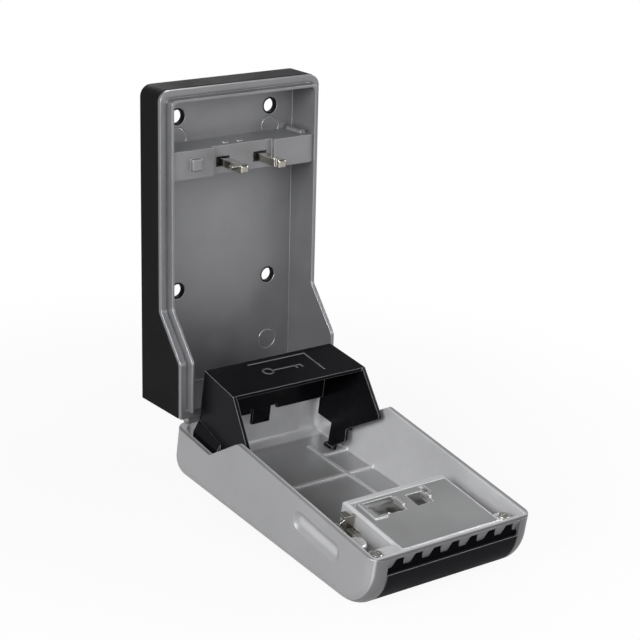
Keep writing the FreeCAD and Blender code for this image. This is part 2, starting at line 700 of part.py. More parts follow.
def pivot_hole():
    y, z = pivot_place()
    start = SHUTTER_HALF_W
    return rod_x(PIVOT_PIN_R + PIN_GAP, (start, start + SHUTTER_GAP + PIVOT_PIN_L), y, z)


def make_shutter():
    skin = door_block(0, 0, 0, 0).cut(door_inset(SHUTTER_T))
    low = PIVOT_Z
    shutter = skin.common(seat_region(SHUTTER_HALF_W, low, SHUTTER_TOP_Y))
    y, z = pivot_place()
    shutter = fuse(shutter, rod_x(PIVOT_KNUCKLE_R, (-SHUTTER_HALF_W, SHUTTER_HALF_W), y, z))
    reach = SHUTTER_HALF_W + PIVOT_PIN_L
    shutter = fuse(shutter, rod_x(PIVOT_PIN_R, (-reach, reach), y, z))
    return shutter


def make_seal():
    """The black seal strip with teeth that shows above the shutter."""
    half = SHUTTER_HALF_W
    strip = box((-half, half), (SHUTTER_TOP_Y + SHUTTER_GAP, SEAT_TOP_Y),
                (DOOR_TOP - SEAT_DEPTH, DOOR_TOP - TOOTH_OUT))
    return fuse(strip, *[tooth(x, 0, TOOTH_OUT) for x in tooth_places()])


# Lock

def dial_places():
    middle = (DIAL_COUNT - 1) / 2
    return [(i - middle) * DIAL_PITCH for i in range(DIAL_COUNT)]


def make_housing():
    z = (LOCK_LOW, LOCK_HIGH)
    body = box((LOCK_LEFT, LOCK_RIGHT), (-FAR, LOCK_TOP_Y), z)
    top_edges = [e for e in body.Edges if abs(e.BoundBox.YMin - LOCK_TOP_Y) < 1e-4]
    body = body.makeChamfer(LOCK_CHAMFER, top_edges)
    lug_z = (LUG_Z - LUG_HALF_W, LUG_Z + LUG_HALF_W)
    lug_y = (LOCK_TOP_Y - LUG_T, LOCK_TOP_Y - 0.4)
    lugs = [box((-LUG_X, LOCK_LEFT + 1), lug_y, lug_z), box((LOCK_RIGHT - 1, LUG_X), lug_y, lug_z)]
    lugs += [rod_y(LUG_HALF_W, x, lug_y, LUG_Z) for x in (-LUG_X, LUG_X)]
    body = fuse(body, *lugs)
    room_x = (LOCK_LEFT + LOCK_WALL, LOCK_RIGHT - LOCK_WALL)
    ledge = LOCK_WALL - LOCK_BORDER
    room = box(room_x, (-2 * FAR, 0), (COVER_LOW + ledge, LOCK_HIGH - LOCK_WALL))
    undercut = box(room_x, (-2 * FAR, LOCK_UNDERCUT_Y), (LOCK_LOW + LOCK_WALL, LOCK_HIGH - LOCK_WALL))
    floor_y = LOCK_TOP_Y - COVER_SINK - COVER_T
    bulkhead = box((BULKHEAD_X, BULKHEAD_X + BULKHEAD_T), (-FAR, floor_y), z)
    stop = box((LOCK_LEFT + 1, BULKHEAD_X + 1), STOP_Y, STOP_Z)
    body = fuse(body.cut(fuse(room, undercut)), bulkhead, stop)
    pocket = box((LOCK_LEFT + LOCK_BORDER, LOCK_RIGHT - LOCK_BORDER), (floor_y, 0),
                 (COVER_LOW, LOCK_HIGH - LOCK_BORDER))
    body = body.cut(pocket)
    body = body.cut(box(PEEP_SLOT[0], (LOCK_TOP_Y - PEEP_DEPTH, 0), PEEP_SLOT[1]))
    guides = []
    for y in ((LATCH_Y[0] - GUIDE_GAP - GUIDE_T, LATCH_Y[0] - GUIDE_GAP),
              (LATCH_Y[1] + GUIDE_GAP, LATCH_Y[1] + GUIDE_GAP + GUIDE_T)):
        guides.append(box((LOCK_LEFT + 1, -BULKHEAD_X + GUIDE_W), y, (LOCK_LOW + 1, STOP_Z[1])))
        guides.append(box((BULKHEAD_X - GUIDE_W, BULKHEAD_X + 1), y, (LOCK_LOW + 1, STOP_Z[1])))
    body = fuse(body, funnel(), *guides)
    body = body.common(door_block(SEAT_DEPTH + SEAT_T + LOCK_FLOOR_GAP, SEAT_DEPTH + SEAT_T + LOCK_FLOOR_GAP,
                                  0, DOOR_SIDE + LOCK_FLOOR_GAP))
    body = body.cut(rod_x(SHAFT_R + SHAFT_GAP, (-FAR, FAR), DIAL_Y, DIAL_Z))
    slot_y = (LEVER_TAIL_Y[0] - LEVER_GAP, LEVER_TAIL_Y[1] + LEVER_GAP)
    slot_z = (LEVER_Z - LEVER_GAP, LEVER_Z + LEVER_T + LEVER_TRAVEL + LEVER_GAP)
    body = body.cut(box((LOCK_LEFT - 1, LOCK_LEFT + LOCK_WALL + 1), slot_y, slot_z))
    for x in (-LUG_X, LUG_X):
        body = body.cut(rod_y(SCREW_R + PIN_GAP, x, (-FAR / 2, 0), LUG_Z))
    return body


def funnel():
    """The sloped guide behind the left hook hole, below the barbed hook's path."""
    high = LOCK_TOP_Y - COVER_SINK - COVER_T - COVER_GAP
    low = high - FUNNEL_DROP
    x = (LOCK_LEFT + LOCK_WALL / 2, LEFT_HOLE_X[0], FUNNEL_END_X)
    z = (LOCK_LOW + LOCK_WALL / 2, HOOK_BOTTOM - FUNNEL_GAP)
    corners = [vec(x[0], high, z[0]), vec(x[1], high, z[0]), vec(x[2], low, z[0]),
               vec(x[2], low - FUNNEL_T, z[0]), vec(x[0], low - FUNNEL_T, z[0])]
    return Part.Face(outline(corners, [0] * len(corners))).extrude(vec(0, 0, z[1] - z[0]))


def make_cover():
    gap = COVER_GAP
    x = (LOCK_LEFT + LOCK_BORDER + gap, LOCK_RIGHT - LOCK_BORDER - gap)
    z = (COVER_LOW + gap, LOCK_HIGH - LOCK_BORDER - gap)
    top = LOCK_TOP_Y - COVER_SINK
    plate = box(x, (top - COVER_T, top), z)
    upright = [e for e in plate.Edges if abs(e.BoundBox.YLength - COVER_T) < 1e-4]
    plate = plate.makeFillet(0.8, upright)
    corner = [(x[0], z[0]), (x[0] + COVER_CORNER, z[0]), (x[0], z[0] + COVER_CORNER)]
    plate = plate.cut(prism_y(corner, (-FAR, 0)))
    lip_y = (top - 0.1, top + COVER_LIP_H)
    collar_y = (top - COLLAR_DEPTH, top + COVER_LIP_H)
    edge = LEFT_HOLE_X[0] - COVER_LIP_W
    lips = [box((edge, LEFT_HOLE_X[0]), lip_y, (HOLE_LOW, HOLE_HIGH + COVER_LIP_W)),
            box((edge, edge + COVER_LIP_L), lip_y, (HOLE_HIGH, HOLE_HIGH + COVER_LIP_W)),
            box((LEFT_HOLE_X[1], LEFT_HOLE_X[1] + COLLAR_T), collar_y, COLLAR_Z),
            box((RIGHT_HOLE_X[1], RIGHT_HOLE_X[1] + COLLAR_T), lip_y, STUD_Z)]
    plate = fuse(plate, *lips)
    for hole_x, low in ((LEFT_HOLE_X, HOLE_LOW), (RIGHT_HOLE_X, RIGHT_HOLE_LOW)):
        plate = plate.cut(box(hole_x, (-FAR, 0), (low, HOLE_HIGH)))
    return plate.cut(box(CORNER_CUT_X, (-FAR, 0), (0, z[0] + CORNER_CUT_L)))


def cap_screw(x, y_top, z):
    head = rod_y(SCREW_HEAD_R, x, (y_top, y_top + SCREW_HEAD_H), z)
    rim = [e for e in head.Edges if abs(e.BoundBox.YMin - y_top - SCREW_HEAD_H) < 1e-4]
    head = head.makeFillet(0.4, rim)
    shank = rod_y(SCREW_R - PIN_GAP, x, (y_top - SCREW_L + 1, y_top), z)
    screw = fuse(head, shank)
    for turn in (0, 90):
        slot = box((x - 0.3, x + 0.3), (y_top + 0.4, y_top + 2), (z - 1.3, z + 1.3))
        slot.rotate(vec(x, 0, z), vec(0, 1, 0), turn)
        screw = screw.cut(slot)
    return screw


def make_lock_screws():
    return Part.makeCompound([cap_screw(x, LOCK_TOP_Y - 0.4, LUG_Z) for x in (-LUG_X, LUG_X)])


def make_latch():
    plate = box((-LATCH_HALF_W, LATCH_HALF_W), LATCH_Y, LATCH_Z)
    shank_low = HOOK_BOTTOM - LATCH_TRAVEL - WINDOW_GAP
    shank_high = HOOK_BOTTOM + HOOK_T + WINDOW_GAP
    barb_high = shank_high - LATCH_TRAVEL
    barb_out = HOOK_TIP + WINDOW_GAP
    notch = box((SPRING_X - SPRING_R - WINDOW_GAP, SPRING_X + SPRING_R + WINDOW_GAP), (-FAR, 0),
                (SPRING_BOTTOM, LATCH_Z[1] + 1))
    shank = box((HOOK_IN - WINDOW_GAP, HOOK_OUT + WINDOW_GAP), (-FAR, 0), (shank_low, shank_high))
    barb = box((-barb_out, -HOOK_IN + WINDOW_GAP), (-FAR, 0), (shank_low, barb_high))
    for shape in both_sides(shank) + both_sides(notch) + [barb]:
        plate = plate.cut(shape)
    z = (PAD_Z[0] + PAD_Z[1]) / 2
    return plate.cut(rod_y(LATCH_SCREW_R + PIN_GAP, 0, (-FAR, 0), z))


def make_slider():
    """The thumb pad outside the seat and the post that goes in to the latch plate."""
    seat = SEAT_DEPTH - PAD_GAP
    band = door_inset(seat - PAD_T).cut(door_inset(seat))
    pad = band.common(box((-PAD_HALF_W, PAD_HALF_W), (-FAR, 0), PAD_Z))
    z = (PAD_Z[0] + PAD_Z[1]) / 2
    post = box((-POST_HALF, POST_HALF), (-FAR, LATCH_Y[0]), (z - POST_HALF, z + POST_HALF))
    post = post.common(door_inset(seat - PAD_T / 2))
    slider = fuse(pad, post)
    for i in range(PAD_RIBS):
        level = PAD_Z[0] + (i + 1) * (PAD_Z[1] - PAD_Z[0]) / (PAD_RIBS + 1)
        y = face_y(level) + seat - PAD_T
        slider = slider.cut(rod_x(0.5, (-PAD_HALF_W + 1.5, PAD_HALF_W - 1.5), y - 0.1, level))
    return slider.cut(rod_y(LATCH_SCREW_R, 0, (LATCH_Y[0] - 6, 0), z))


def make_latch_screw():
    z = (PAD_Z[0] + PAD_Z[1]) / 2
    shank = rod_y(LATCH_SCREW_R - PIN_GAP, 0, (LATCH_Y[0] - 5, LATCH_Y[1]), z)
    head = rod_y(LATCH_SCREW_HEAD_R, 0, (LATCH_Y[1], LATCH_Y[1] + LATCH_SCREW_HEAD_H), z)
    return fuse(head, shank)


def make_spring(x):
    """A round coil along Z from the latch plate's notch up to the stop."""
    height = STOP_Z[0] - SPRING_BOTTOM - SPRING_WIRE
    radius = SPRING_R - SPRING_WIRE / 2
    pitch = height / SPRING_TURNS
    print("spring: least gap between turns %.2f mm" % (pitch - SPRING_WIRE))
    y = (LATCH_Y[0] + LATCH_Y[1]) / 2
    path = Part.makeHelix(pitch, height, radius)
    section = Part.Wire([Part.Circle(vec(radius, 0, 0), vec(0, 1, 0), SPRING_WIRE / 2).toShape()])
    coil = Part.Wire(path).makePipeShell([section], True, False)
    coil.translate(vec(x, y, SPRING_BOTTOM + SPRING_WIRE / 2))
    return coil


def make_dial(x):
    half = DIAL_T / 2
    dial = rod_x(DIAL_R, (x - half, x + half), DIAL_Y, DIAL_Z)
    dial = dial.makeChamfer(0.5, [e for e in dial.Edges if e.BoundBox.XLength < 0.01])
    for i in range(DIAL_FACES):
        angle = 2 * math.pi * (i + 0.5) / DIAL_FACES
        y = DIAL_Y + DIAL_R * math.cos(angle)
        z = DIAL_Z + DIAL_R * math.sin(angle)
        dial = dial.cut(rod_x(DIAL_GROOVE, (x - half - 1, x + half + 1), y, z))
    bore = rod_x(CAM_BOSS_R, (x - half - 1, x + half + 1), DIAL_Y, DIAL_Z)
    return dial.cut(bore)


def make_cam(x):
    """The hub inside a dial, with its notched disc beside the dial."""
    half = DIAL_T / 2
    end = x + half + CAM_T
    hub = rod_x(CAM_BOSS_R, (x - half, end), DIAL_Y, DIAL_Z)
    disc = rod_x(CAM_R, (x + half, end), DIAL_Y, DIAL_Z)
    notch = box((x + half - 1, end + 1), (DIAL_Y - CAM_NOTCH / 2, DIAL_Y + CAM_NOTCH / 2),
                (DIAL_Z - CAM_R - 1, DIAL_Z - CAM_R + 1.2))
    cam = fuse(hub, disc).cut(notch)
    return cam.cut(rod_x(SHAFT_R + SHAFT_GAP, (x - FAR, x + FAR), DIAL_Y, DIAL_Z))


def make_shaft():
    shaft = rod_x(SHAFT_R, (SHAFT_LEFT, SHAFT_RIGHT), DIAL_Y, DIAL_Z)
    return shaft.makeChamfer(SHAFT_TIP, [e for e in shaft.Edges if e.BoundBox.XMax < SHAFT_LEFT + 0.01])


def make_clip():
    x = (LOCK_RIGHT + CLIP_GAP, LOCK_RIGHT + CLIP_GAP + CLIP_T)
    ring = rod_x(CLIP_R, x, DIAL_Y, DIAL_Z).cut(rod_x(SHAFT_R, (x[0] - 1, x[1] + 1), DIAL_Y, DIAL_Z))
    mouth = box((x[0] - 1, x[1] + 1), (DIAL_Y - 1, DIAL_Y + 1), (DIAL_Z - CLIP_R - 1, DIAL_Z))
    return ring.cut(mouth)


def make_detent():
    """The comb spring that rests on the dials: one finger over each."""
    low = DIAL_Y + DIAL_R + DETENT_GAP
    top = low + DETENT_T
    far = LOCK_HIGH - LOCK_WALL
    comb = box((LOCK_LEFT + LOCK_WALL + 0.2, BULKHEAD_X - 0.2), (low, top), (DETENT_ROOT, far))
    for x in dial_places():
        side = DETENT_FINGER_W / 2
        comb = fuse(comb, box((x - side, x + side), (low, top), (DIAL_Z - 2, DETENT_ROOT + 1)))
    return comb


def make_lever():
    """The lever beside the lock: its tail runs in the housing's slot, its ramp pushes the shaft."""
    z = (LEVER_Z, LEVER_Z + LEVER_T)
    left, right = LEVER_X
    stem = right - LEVER_STEM_W
    shape = [(left, LEVER_TOP_Y), (right, LEVER_TOP_Y), (right, LEVER_BOTTOM_Y), (stem, LEVER_BOTTOM_Y),
             (stem, LEVER_TOP_Y - 3.4 * LEVER_EAR), (left, LEVER_TOP_Y - 2.2 * LEVER_EAR),
             (left - LEVER_EAR, LEVER_TOP_Y - LEVER_EAR), (left, LEVER_TOP_Y - LEVER_EAR / 2)]
    wire = outline([vec(x, y, z[0]) for x, y in shape], [0] * len(shape))
    web = Part.Face(wire).extrude(vec(0, 0, LEVER_T))
    flange = box((left, left + LEVER_FLANGE_W), (LEVER_TOP_Y - LEVER_T, LEVER_TOP_Y),
                 (LEVER_Z - LEVER_FLANGE, z[1]))
    tail = box((right - 1, LOCK_LEFT + LOCK_WALL - LEVER_GAP), LEVER_TAIL_Y, z)
    thin = ARM_X + ARM_T
    ramp_start = DIAL_Z - (SHAFT_R - SHAFT_TIP)
    ramp = [(ARM_X, LEVER_Z), (ARM_X, ARM_END), (thin, ARM_END), (thin, ramp_start),
            (thin + SHAFT_SHIFT, ramp_start - LEVER_TRAVEL), (thin + SHAFT_SHIFT, LEVER_Z)]
    return fuse(web, flange, tail, prism_y(ramp, ARM_Y))


# Key tray

def tray_side():
    """The right-hand side wall, down to its leg, leaning outwards as it leaves the hinge."""
    back, low, high = TRAY_BACK_Y, TRAY_LOW_Z, TRAY_HIGH_Z
    points = [(back, low), (back, high), TRAY_NOSE, (TRAY_NOSE[0] - 1.6, TRAY_NOSE[1]),
              (LEG_TOP_Y, LEG_TOP_Z[1]), LEG_KNEE, (LEG_ANKLE_Y, LEG_ANKLE_Z[1]), (-FAR, LEG_END_Z[1]),
              (-FAR, LEG_END_Z[0]), (LEG_ANKLE_Y, LEG_ANKLE_Z[0]), (LEG_TOP_Y, LEG_TOP_Z[0]),
              (TRAY_SHELF_Y, low)]
    radii = [0, 1.0, 1.0, 0.5, 2.0, 1.5, 1.5, 0, 0, 2.0, 2.0, 1.0]
    side = prism_x(points, (TRAY_HALF_W - TRAY_WALL, TRAY_HALF_W), radii)
    side.rotate(vec(TRAY_HALF_W, 0, low), vec(0, 1, 0), TRAY_SPLAY)
    return side


def tray_plan(half):
    """The tray between its leaning sides, seen from the back, half wide at its lower edge."""
    wide = half + (TRAY_HIGH_Z - TRAY_LOW_Z) * math.tan(math.radians(TRAY_SPLAY))
    return [(-half, TRAY_LOW_Z), (half, TRAY_LOW_Z), (wide, TRAY_HIGH_Z), (-wide, TRAY_HIGH_Z)]


def tray_foot():
    """The small pad at the leg's end, with the peg that is pressed into the door's floor."""
    pad = door_block(DOOR_END, DOOR_FACE + LEG_GAP, DOOR_TOE, DOOR_SIDE)
    pad = pad.cut(door_block(DOOR_END, DOOR_FACE + LEG_GAP + FOOT_T, DOOR_TOE, DOOR_SIDE))
    pad = pad.common(box((TRAY_HALF_W - TRAY_WALL, TRAY_HALF_W + FOOT_OUT), (-2 * FAR, -30), LEG_END_Z))
    return fuse(pad, foot_peg(0))


def foot_peg(gap):
    x = TRAY_HALF_W + (FOOT_OUT - TRAY_WALL) / 2
    z = (LEG_END_Z[0] + LEG_END_Z[1]) / 2
    top = face_y(z) + DOOR_FACE + FOOT_T
    return rod_y(PEG_R + gap, x, (face_y(z) + DOOR_FACE - PEG_L - gap, top), z)


def tray_flange():
    """The outward flange that closes the corner between tray and door."""
    low = TRAY_HALF_W - TRAY_WALL
    points = [vec(low, FLANGE_TOP_Y, FLANGE_Z[0]), vec(TRAY_HALF_W, FLANGE_TOP_Y, FLANGE_Z[0]),
              vec(FLANGE_OUT, FLANGE_BEND_Y, FLANGE_Z[0]), vec(FLANGE_OUT, FLANGE_WIDE_Y, FLANGE_Z[0]),
              vec(FLANGE_WIDE, FLANGE_WIDE_Y, FLANGE_Z[0]), vec(FLANGE_WIDE, FLANGE_LOW_Y, FLANGE_Z[0]),
              vec(low, FLANGE_LOW_Y, FLANGE_Z[0])]
    wire = outline(points, [0, 1.0, 2.0, 0, 0, 0, 0])
    return Part.Face(wire).extrude(vec(0, 0, FLANGE_Z[1] - FLANGE_Z[0]))


def make_tray():
    half = TRAY_HALF_W
    back = prism_y(tray_plan(half), (TRAY_BACK_Y - TRAY_WALL, TRAY_BACK_Y))
    shelf_z = (TRAY_LOW_Z, TRAY_LOW_Z + TRAY_WALL)
    shelf = box((-half, half), (TRAY_SHELF_Y, TRAY_BACK_Y), shelf_z)
    tab = box(TRAY_TAB_X, (TRAY_TAB_Y, TRAY_SHELF_Y + 1), shelf_z)
    shelf = fuse(shelf, tab)
    for edge, width in ((TRAY_TAB_X[0] - 1.2, 1.2), (TRAY_TAB_X[1], TRAY_NOTCH_X[1] - TRAY_TAB_X[1])):
        shelf = shelf.cut(box((edge, edge + width), (TRAY_SHELF_Y - 1, TRAY_NOTCH_Y), shelf_z))
    tray = fuse(back, shelf)
    flange = tray_flange().cut(prism_y(tray_plan(half - TRAY_WALL), (-FAR, FAR)))
    for part in (tray_side(), flange):
        tray = fuse(tray, *both_sides(part))
    tray = tray.common(door_block(DOOR_END, DOOR_FACE + LEG_GAP, DOOR_TOE + LEG_GAP, DOOR_SIDE + LEG_GAP))
    tray = fuse(tray, *both_sides(tray_foot()))
    return fuse(tray, *key_emblem())


def key_emblem():
    """A plain raised key and a frame corner on the back of the tray."""
    y = (TRAY_BACK_Y - 0.1, TRAY_BACK_Y + EMBOSS_H)
    w = EMBOSS_W
    bars = [box((-13.3, 17.3), y, (9.0, 9.0 + w)), box((17.3 - w, 17.3), y, (9.0, 25.5))]
    bow_x, bow_z, bow_r = -8.0, 17.5, 2.6
    bow = rod_y(bow_r, bow_x, y, bow_z).cut(rod_y(bow_r - w, bow_x, y, bow_z))
    stem = box((bow_x + bow_r - 0.2, 9.5), y, (bow_z - w / 2, bow_z + w / 2))
    bits = [box((x, x + w), y, (bow_z, bow_z + 2.2)) for x in (6.0, 8.9)]
    return bars + [fuse(bow, stem, *bits)]


# Placing

def keep(name, shape, on_door):
    """Swing the door's pieces open, move the origin, and write the piece."""
    shape = shape.copy()
    if on_door:
        shape.rotate(vec(0, HINGE_Y, HINGE_Z), vec(1, 0, 0), OPEN_ANGLE)
    shape.translate(vec(0, 0, -HOLE_MID_Z))
    if len(shape.Solids) == 1:
        shape = shape.Solids[0]
    NODES[name] = shape


def build():
    keep("wall_jacket", make_jacket(), False)
    keep("wall_casing", make_casing(), False)
    keep("strike_bar", make_bar(), False)
    keep("strike_hook_right", make_hook(False), False)
    keep("strike_hook_left", both_sides(make_hook(True))[1], False)
    keep("strike_screws", make_bar_screws(), False)
    keep("hinge_pin", make_hinge_pin(), False)
    keep("door_shell", make_shell(), True)
    keep("shutter", make_shutter(), True)
    keep("shutter_seal", make_seal(), True)
    keep("lock_housing", make_housing(), True)
    keep("lock_cover", make_cover(), True)
    keep("lock_screws", make_lock_screws(), True)
    keep("latch_plate", make_latch(), True)
    keep("open_slider", make_slider(), True)
    keep("slider_screw", make_latch_screw(), True)
    keep("latch_spring_left", make_spring(-SPRING_X), True)
    keep("latch_spring_right", make_spring(SPRING_X), True)
    for i, x in enumerate(dial_places()):
        keep("dial_%d" % (i + 1), make_dial(x), True)
        keep("dial_cam_%d" % (i + 1), make_cam(x), True)
    keep("dial_shaft", make_shaft(), True)
    keep("shaft_clip", make_clip(), True)
    keep("dial_detent", make_detent(), True)
    keep("reset_lever", make_lever(), True)
    keep("key_tray", make_tray(), True)


build()
os.makedirs("parts", exist_ok=True)
for name, shape in NODES.items():
    shape.exportStep("parts/%s.step" % name)
    print("%-20s solids %d valid %s volume %.1f" % (name, len(shape.Solids), shape.isValid(), shape.Volume))
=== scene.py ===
import json
import math
import bpy
from mathutils import Matrix, Quaternion, Vector


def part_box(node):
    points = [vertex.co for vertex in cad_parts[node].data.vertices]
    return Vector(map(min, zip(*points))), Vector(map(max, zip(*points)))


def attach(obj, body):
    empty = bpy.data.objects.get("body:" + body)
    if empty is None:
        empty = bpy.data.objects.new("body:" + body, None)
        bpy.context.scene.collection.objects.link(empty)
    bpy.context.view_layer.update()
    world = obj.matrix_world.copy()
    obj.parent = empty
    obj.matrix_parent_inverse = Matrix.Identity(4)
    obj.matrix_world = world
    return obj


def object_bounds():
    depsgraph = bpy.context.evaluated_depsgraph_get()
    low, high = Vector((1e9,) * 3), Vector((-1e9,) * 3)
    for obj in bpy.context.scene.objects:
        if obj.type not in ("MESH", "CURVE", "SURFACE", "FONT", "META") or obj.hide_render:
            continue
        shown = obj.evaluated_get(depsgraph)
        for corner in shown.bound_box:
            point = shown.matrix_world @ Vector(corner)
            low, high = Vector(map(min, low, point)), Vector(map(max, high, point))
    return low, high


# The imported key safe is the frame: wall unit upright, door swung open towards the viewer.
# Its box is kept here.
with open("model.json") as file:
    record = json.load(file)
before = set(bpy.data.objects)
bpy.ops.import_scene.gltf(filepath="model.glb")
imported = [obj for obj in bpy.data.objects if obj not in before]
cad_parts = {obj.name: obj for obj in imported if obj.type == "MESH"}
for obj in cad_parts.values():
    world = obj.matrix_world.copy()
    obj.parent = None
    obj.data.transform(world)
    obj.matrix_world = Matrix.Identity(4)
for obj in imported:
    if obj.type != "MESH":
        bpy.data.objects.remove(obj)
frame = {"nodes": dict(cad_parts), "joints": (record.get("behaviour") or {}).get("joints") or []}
cad_low, cad_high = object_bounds()
scene = bpy.context.scene
scene.view_settings.view_transform = "Standard"


# Camera: a long lens a little above the open door and left of it, as in the photograph.
camera = bpy.data.objects.new("camera", bpy.data.cameras.new("camera"))
scene.collection.objects.link(camera)
camera.data.sensor_width = 36.0
camera.data.lens = 102.94
camera.data.clip_start = 0.05
camera.location = (-0.43781, -0.67493, 0.21243)
camera.rotation_mode = "QUATERNION"
camera.rotation_quaternion = Quaternion((0.774762, 0.552310, -0.188605, -0.243157))
scene.camera = camera


# Studio: a surround that is white near the horizon, where the camera and bright metal see it,
# darker overhead, and gentler where it only lights the object. Four soft lamps stand in an arc
# before the object, and one stands behind it.
def node(tree, kind, values=None, **settings):
    """A new shader node, with its settings and the values of its inputs."""
    made = tree.nodes.new("ShaderNode" + kind)
    for setting, choice in settings.items():
        setattr(made, setting, choice)
    for socket, value in (values or {}).items():
        made.inputs[socket].default_value = value
    return made


def wire(tree, *links):
    """Join each output to its input."""
    for source, target in links:
        tree.links.new(source, target)


def seen_share(tree, in_mirrors):
    """1 where the camera looks straight at a backdrop, and a share where metal or glass shows it."""
    rays = node(tree, "LightPath")
    mirrored = node(tree, "Math", operation="MAXIMUM")
    softened = node(tree, "Math", {1: in_mirrors}, operation="MULTIPLY")
    seen = node(tree, "Math", operation="MAXIMUM")
    wire(tree,
         (rays.outputs["Is Glossy Ray"], mirrored.inputs[0]),
         (rays.outputs["Is Transmission Ray"], mirrored.inputs[1]),
         (mirrored.outputs["Value"], softened.inputs[0]),
         (rays.outputs["Is Camera Ray"], seen.inputs[0]),
         (softened.outputs["Value"], seen.inputs[1]))
    return seen.outputs["Value"]


world = bpy.data.worlds.new("studio")
scene.world = world
world.use_nodes = True
surround = world.node_tree
surround.nodes.clear()
direction = node(surround, "TexCoord")
height = node(surround, "SeparateXYZ")
seen_tone = node(surround, "MapRange", {"From Min": 0.30, "From Max": 0.65, "To Min": 1.0, "To Max": 0.25})
light_tone = node(surround, "MapRange", {"From Min": -0.4, "From Max": 0.7, "To Min": 0.42, "To Max": 0.14})
seen_surround = node(surround, "Background")
lighting_surround = node(surround, "Background")
seen_or_lighting = node(surround, "MixShader")
surround_end = node(surround, "OutputWorld")
wire(surround,
     (direction.outputs["Generated"], height.inputs["Vector"]),
     (height.outputs["Z"], seen_tone.inputs["Value"]),
     (height.outputs["Z"], light_tone.inputs["Value"]),
     (seen_tone.outputs["Result"], seen_surround.inputs["Strength"]),
     (light_tone.outputs["Result"], lighting_surround.inputs["Strength"]),
     (seen_share(surround, in_mirrors=1.0), seen_or_lighting.inputs["Fac"]),
     (lighting_surround.outputs["Background"], seen_or_lighting.inputs[1]),
     (seen_surround.outputs["Background"], seen_or_lighting.inputs[2]),
     (seen_or_lighting.outputs["Shader"], surround_end.inputs["Surface"]))

lamps_aim = Vector((0.0, -0.08, -0.05))
for name, place, size, power in (
    ("left softbox", (-0.90, -0.40, 0.42), 0.5, 13.2),
    ("front left softbox", (-0.70, -0.90, 0.45), 0.5, 5.5),
    ("front softbox", (0.05, -1.30, 0.30), 0.6, 4.2),
    ("right softbox", (0.85, -0.55, 0.35), 0.4, 5.4),
    ("back softbox", (0.35, 1.10, 0.45), 0.6, 5.0),
):
    lamp = bpy.data.lights.new(name, "AREA")
    lamp.shape = "DISK"
    lamp.size = size
    lamp.energy = power
    holder = bpy.data.objects.new(name, lamp)
    holder.location = place
    holder.rotation_euler = (lamps_aim - Vector(place)).to_track_quat("-Z", "Y").to_euler()
    scene.collection.objects.link(holder)


# Floor: a wide white paper sheet just under the door's lowest point. Near the object it keeps
# a faint shadow, and further out it turns into the plain white of the surround.
sheet_reach = 3.0
gap_below = 0.0006
level = cad_low.z - gap_below
floor_mesh = bpy.data.meshes.new("floor")
sheet_corners = [(x * sheet_reach, y * sheet_reach, level) for x, y in ((-1, -1), (1, -1), (1, 1), (-1, 1))]
floor_mesh.from_pydata(sheet_corners, [], [(0, 1, 2, 3)])
floor = bpy.data.objects.new("floor", floor_mesh)
scene.collection.objects.link(floor)
paper_sheet = bpy.data.materials.new("paper_sheet")
paper_sheet.use_nodes = True
floor_mesh.materials.append(paper_sheet)
paper = paper_sheet.node_tree
paper.nodes.clear()
grey_paper = node(paper, "BsdfDiffuse", {"Color": (0.50, 0.50, 0.50, 1.0)})
plain_white = node(paper, "Emission", {"Color": (1.0, 1.0, 1.0, 1.0), "Strength": 1.0})
spot = node(paper, "TexCoord")
distance = node(paper, "VectorMath", operation="LENGTH")
whitening = node(paper, "MapRange", {"From Min": 0.12, "From Max": 0.33, "To Min": 0.90, "To Max": 1.0},
                 interpolation_type="SMOOTHSTEP")
white_share = node(paper, "Math", operation="MULTIPLY")
grey_or_white = node(paper, "MixShader")
paper_end = node(paper, "OutputMaterial")
wire(paper,
     (spot.outputs["Object"], distance.inputs[0]),
     (distance.outputs["Value"], whitening.inputs["Value"]),
     (seen_share(paper, in_mirrors=0.4), white_share.inputs[0]),
     (whitening.outputs["Result"], white_share.inputs[1]),
     (white_share.outputs["Value"], grey_or_white.inputs["Fac"]),
     (grey_paper.outputs["BSDF"], grey_or_white.inputs[1]),
     (plain_white.outputs["Emission"], grey_or_white.inputs[2]),
     (grey_or_white.outputs["Shader"], paper_end.inputs["Surface"]))


# Rubber jacket: a moulded matt black cover that wraps the wall unit's back and sides, with a fine
# spark-eroded grain, softly rounded edges and a little grey along them, part rub and part painted
# highlight.
surface_life = bpy.data.node_groups.new("surface_life", "ShaderNodeTree")
for label, start in (("Grain Scale", 900.0), ("Grain Depth", 0.1), ("Edge Radius", 0.0003),
                     ("Cloud Scale", 30.0), ("Scratches", 0.0)):
    socket = surface_life.interface.new_socket(label, in_out="INPUT", socket_type="NodeSocketFloat")
    socket.default_value = start
    socket.min_value = 0.0
surface_life.interface.new_socket("Normal", in_out="OUTPUT", socket_type="NodeSocketVector")
for label in ("Edge", "Cloud", "Fleck", "Scratch"):
    surface_life.interface.new_socket(label, in_out="OUTPUT", socket_type="NodeSocketFloat")
asked = surface_life.nodes.new("NodeGroupInput")
given = surface_life.nodes.new("NodeGroupOutput")
spot = node(surface_life, "TexCoord")
flat_face = node(surface_life, "NewGeometry")
rounded = node(surface_life, "Bevel", samples=6)
rounded_by = node(surface_life, "VectorMath", operation="DOT_PRODUCT")
edge = node(surface_life, "MapRange", {"From Min": 0.995, "From Max": 0.80})
grain = node(surface_life, "TexNoise", {"Detail": 3.0})
relief = node(surface_life, "Bump", {"Distance": 0.0001})
clouds = node(surface_life, "TexNoise", {"Detail": 5.0, "Roughness": 0.6})
cloud = node(surface_life, "MapRange", {"From Min": 0.35, "From Max": 0.70})
flecks = node(surface_life, "TexVoronoi", {"Scale": 4200.0})
fleck = node(surface_life, "SeparateColor")
